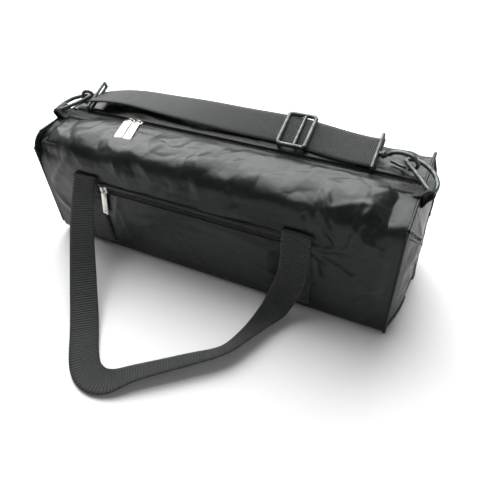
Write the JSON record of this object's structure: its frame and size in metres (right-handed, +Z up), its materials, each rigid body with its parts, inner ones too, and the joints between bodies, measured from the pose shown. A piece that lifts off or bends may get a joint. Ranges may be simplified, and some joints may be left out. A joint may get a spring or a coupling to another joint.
{
  "type": "telescope carry case",
  "caption": "Padded soft carry case with a full-length top zip, front zip pocket, two webbing grab handles and a clip-on shoulder strap.",
  "frame": {"origin": "on the ground under the middle of the case's flat underside", "axes": "+X along the case toward its right end, -Y toward the pocket side, +Z up"},
  "size_m": [0.462, 0.4517, 0.1755],
  "materials": {
    "coated_nylon": "satin coated nylon",
    "webbing": "ribbed polypropylene webbing",
    "zip_tape": "woven tape with nylon coil",
    "foam_padding": "closed-cell foam, matte",
    "stiffener_board": "pressed board",
    "nickel_zip_hardware": "bright nickel plate",
    "dark_nickel_hardware": "worn dark nickel plate"
  },
  "bodies": {
    "case": {"back_anchor_left": "webbing", "back_anchor_right": "webbing", "back_pad": "foam_padding", "back_panel": "coated_nylon", "bottom_board": "stiffener_board", "bottom_panel": "coated_nylon", "front_anchor_left": "webbing", "front_anchor_right": "webbing", "front_pad": "foam_padding", "front_panel": "coated_nylon", "left_end_pad": "foam_padding", "left_end_panel": "coated_nylon", "left_end_piping": "coated_nylon", "pocket_panel": "coated_nylon", "pocket_zip_chain": "zip_tape", "pocket_zip_tape": "zip_tape", "right_end_pad": "foam_padding", "right_end_panel": "coated_nylon", "right_end_piping": "coated_nylon", "ring_tab_left": "webbing", "ring_tab_right": "webbing", "strap_end_left": "webbing", "strap_end_right": "webbing", "strap_loop_left": "dark_nickel_hardware", "strap_loop_right": "dark_nickel_hardware", "top_front_end_left": "coated_nylon", "top_front_end_right": "coated_nylon", "top_rear_end_left": "coated_nylon", "top_rear_end_right": "coated_nylon"},
    "front_flap": {"front_flap": "coated_nylon", "zip_front_tape": "zip_tape", "zip_chain": "zip_tape"},
    "rear_flap": {"rear_flap": "coated_nylon", "zip_rear_tape": "zip_tape", "strap_main": "webbing", "strap_return": "webbing"},
    "tri_glide": {"tri_glide": "dark_nickel_hardware"},
    "front_handle": {"front_handle": "webbing"},
    "back_handle": {"back_handle": "webbing"},
    "zip_slider_left": {"zip_slider_left": "nickel_zip_hardware"},
    "zip_slider_right": {"zip_slider_right": "nickel_zip_hardware"},
    "zip_pull_left": {"zip_pull_left": "nickel_zip_hardware"},
    "zip_pull_right": {"zip_pull_right": "nickel_zip_hardware"},
    "pocket_slider": {"pocket_slider": "nickel_zip_hardware"},
    "pocket_pull": {"pocket_pull": "nickel_zip_hardware"},
    "hook_left": {"hook_left": "dark_nickel_hardware", "swivel_left": "dark_nickel_hardware"},
    "hook_gate_left": {"hook_gate_left": "dark_nickel_hardware"},
    "d_ring_left": {"d_ring_left": "dark_nickel_hardware"},
    "hook_right": {"hook_right": "dark_nickel_hardware", "swivel_right": "dark_nickel_hardware"},
    "hook_gate_right": {"hook_gate_right": "dark_nickel_hardware"},
    "d_ring_right": {"d_ring_right": "dark_nickel_hardware"}
  },
  "joints": [
    {"name": "front_flap_fold", "type": "hinge", "parent": "case", "child": "front_flap", "pos_m": [0, -0.068, 0.14125], "axis": [1, 0, 0], "range_deg": [0, 75]},
    {"name": "rear_flap_fold", "type": "hinge", "parent": "case", "child": "rear_flap", "pos_m": [0, 0.068, 0.14125], "axis": [-1, 0, 0], "range_deg": [0, 60]},
    {"name": "front_handle_swing", "type": "hinge", "parent": "case", "child": "front_handle", "pos_m": [0, -0.0735, 0.116], "axis": [-1, 0, 0], "range_deg": [0, 110]},
    {"name": "back_handle_swing", "type": "hinge", "parent": "case", "child": "back_handle", "pos_m": [0, 0.0735, 0.116], "axis": [1, 0, 0], "range_deg": [0, 110]},
    {"name": "zip_slide_left", "type": "slide", "parent": "front_flap", "child": "zip_slider_left", "axis": [1, 0, 0], "range_m": [-0.055, 0]},
    {"name": "zip_slide_right", "type": "slide", "parent": "front_flap", "child": "zip_slider_right", "axis": [1, 0, 0], "range_m": [0, 0.3]},
    {"name": "zip_pull_tip_left", "type": "hinge", "parent": "zip_slider_left", "child": "zip_pull_left", "pos_m": [-0.129, -0.0005, 0.1505], "axis": [-1, 0, 0], "range_deg": [0, 50]},
    {"name": "zip_pull_tip_right", "type": "hinge", "parent": "zip_slider_right", "child": "zip_pull_right", "pos_m": [-0.117, -0.0005, 0.1505], "axis": [-1, 0, 0], "range_deg": [0, 50]},
    {"name": "pocket_zip_slide", "type": "slide", "parent": "case", "child": "pocket_slider", "axis": [1, 0, 0], "range_m": [0, 0.215]},
    {"name": "pocket_pull_swing", "type": "hinge", "parent": "pocket_slider", "child": "pocket_pull", "pos_m": [-0.124, -0.0727, 0.097], "axis": [-1, 0, 0], "range_deg": [0, 45]},
    {"name": "tri_glide_slide", "type": "slide", "parent": "rear_flap", "child": "tri_glide", "axis": [1, 0, 0], "range_m": [-0.09, 0]},
    {"name": "hook_swivel_left", "type": "hinge", "parent": "case", "child": "hook_left", "pos_m": [-0.175, 0.03, 0.1605], "axis": [1, 0, 0], "range_deg": [-15, 8]},
    {"name": "hook_gate_press_left", "type": "hinge", "parent": "hook_left", "child": "hook_gate_left", "pos_m": [-0.181, 0.0295, 0.155], "axis": [0, 1, 0], "range_deg": [0, 12], "stiffness_Nm_per_rad": 0.02, "springref_deg": -11.46},
    {"name": "d_ring_tip_left", "type": "hinge", "parent": "case", "child": "d_ring_left", "pos_m": [-0.228, 0.014, 0.1598], "axis": [0, -1, 0], "range_deg": [0, 3]},
    {"name": "hook_swivel_right", "type": "hinge", "parent": "case", "child": "hook_right", "pos_m": [0.175, 0.03, 0.1605], "axis": [1, 0, 0], "range_deg": [-15, 8]},
    {"name": "hook_gate_press_right", "type": "hinge", "parent": "hook_right", "child": "hook_gate_right", "pos_m": [0.181, 0.0295, 0.155], "axis": [0, -1, 0], "range_deg": [0, 12], "stiffness_Nm_per_rad": 0.02, "springref_deg": -11.46},
    {"name": "d_ring_tip_right", "type": "hinge", "parent": "case", "child": "d_ring_right", "pos_m": [0.228, 0.014, 0.1598], "axis": [0, 1, 0], "range_deg": [0, 3]}
  ]
}
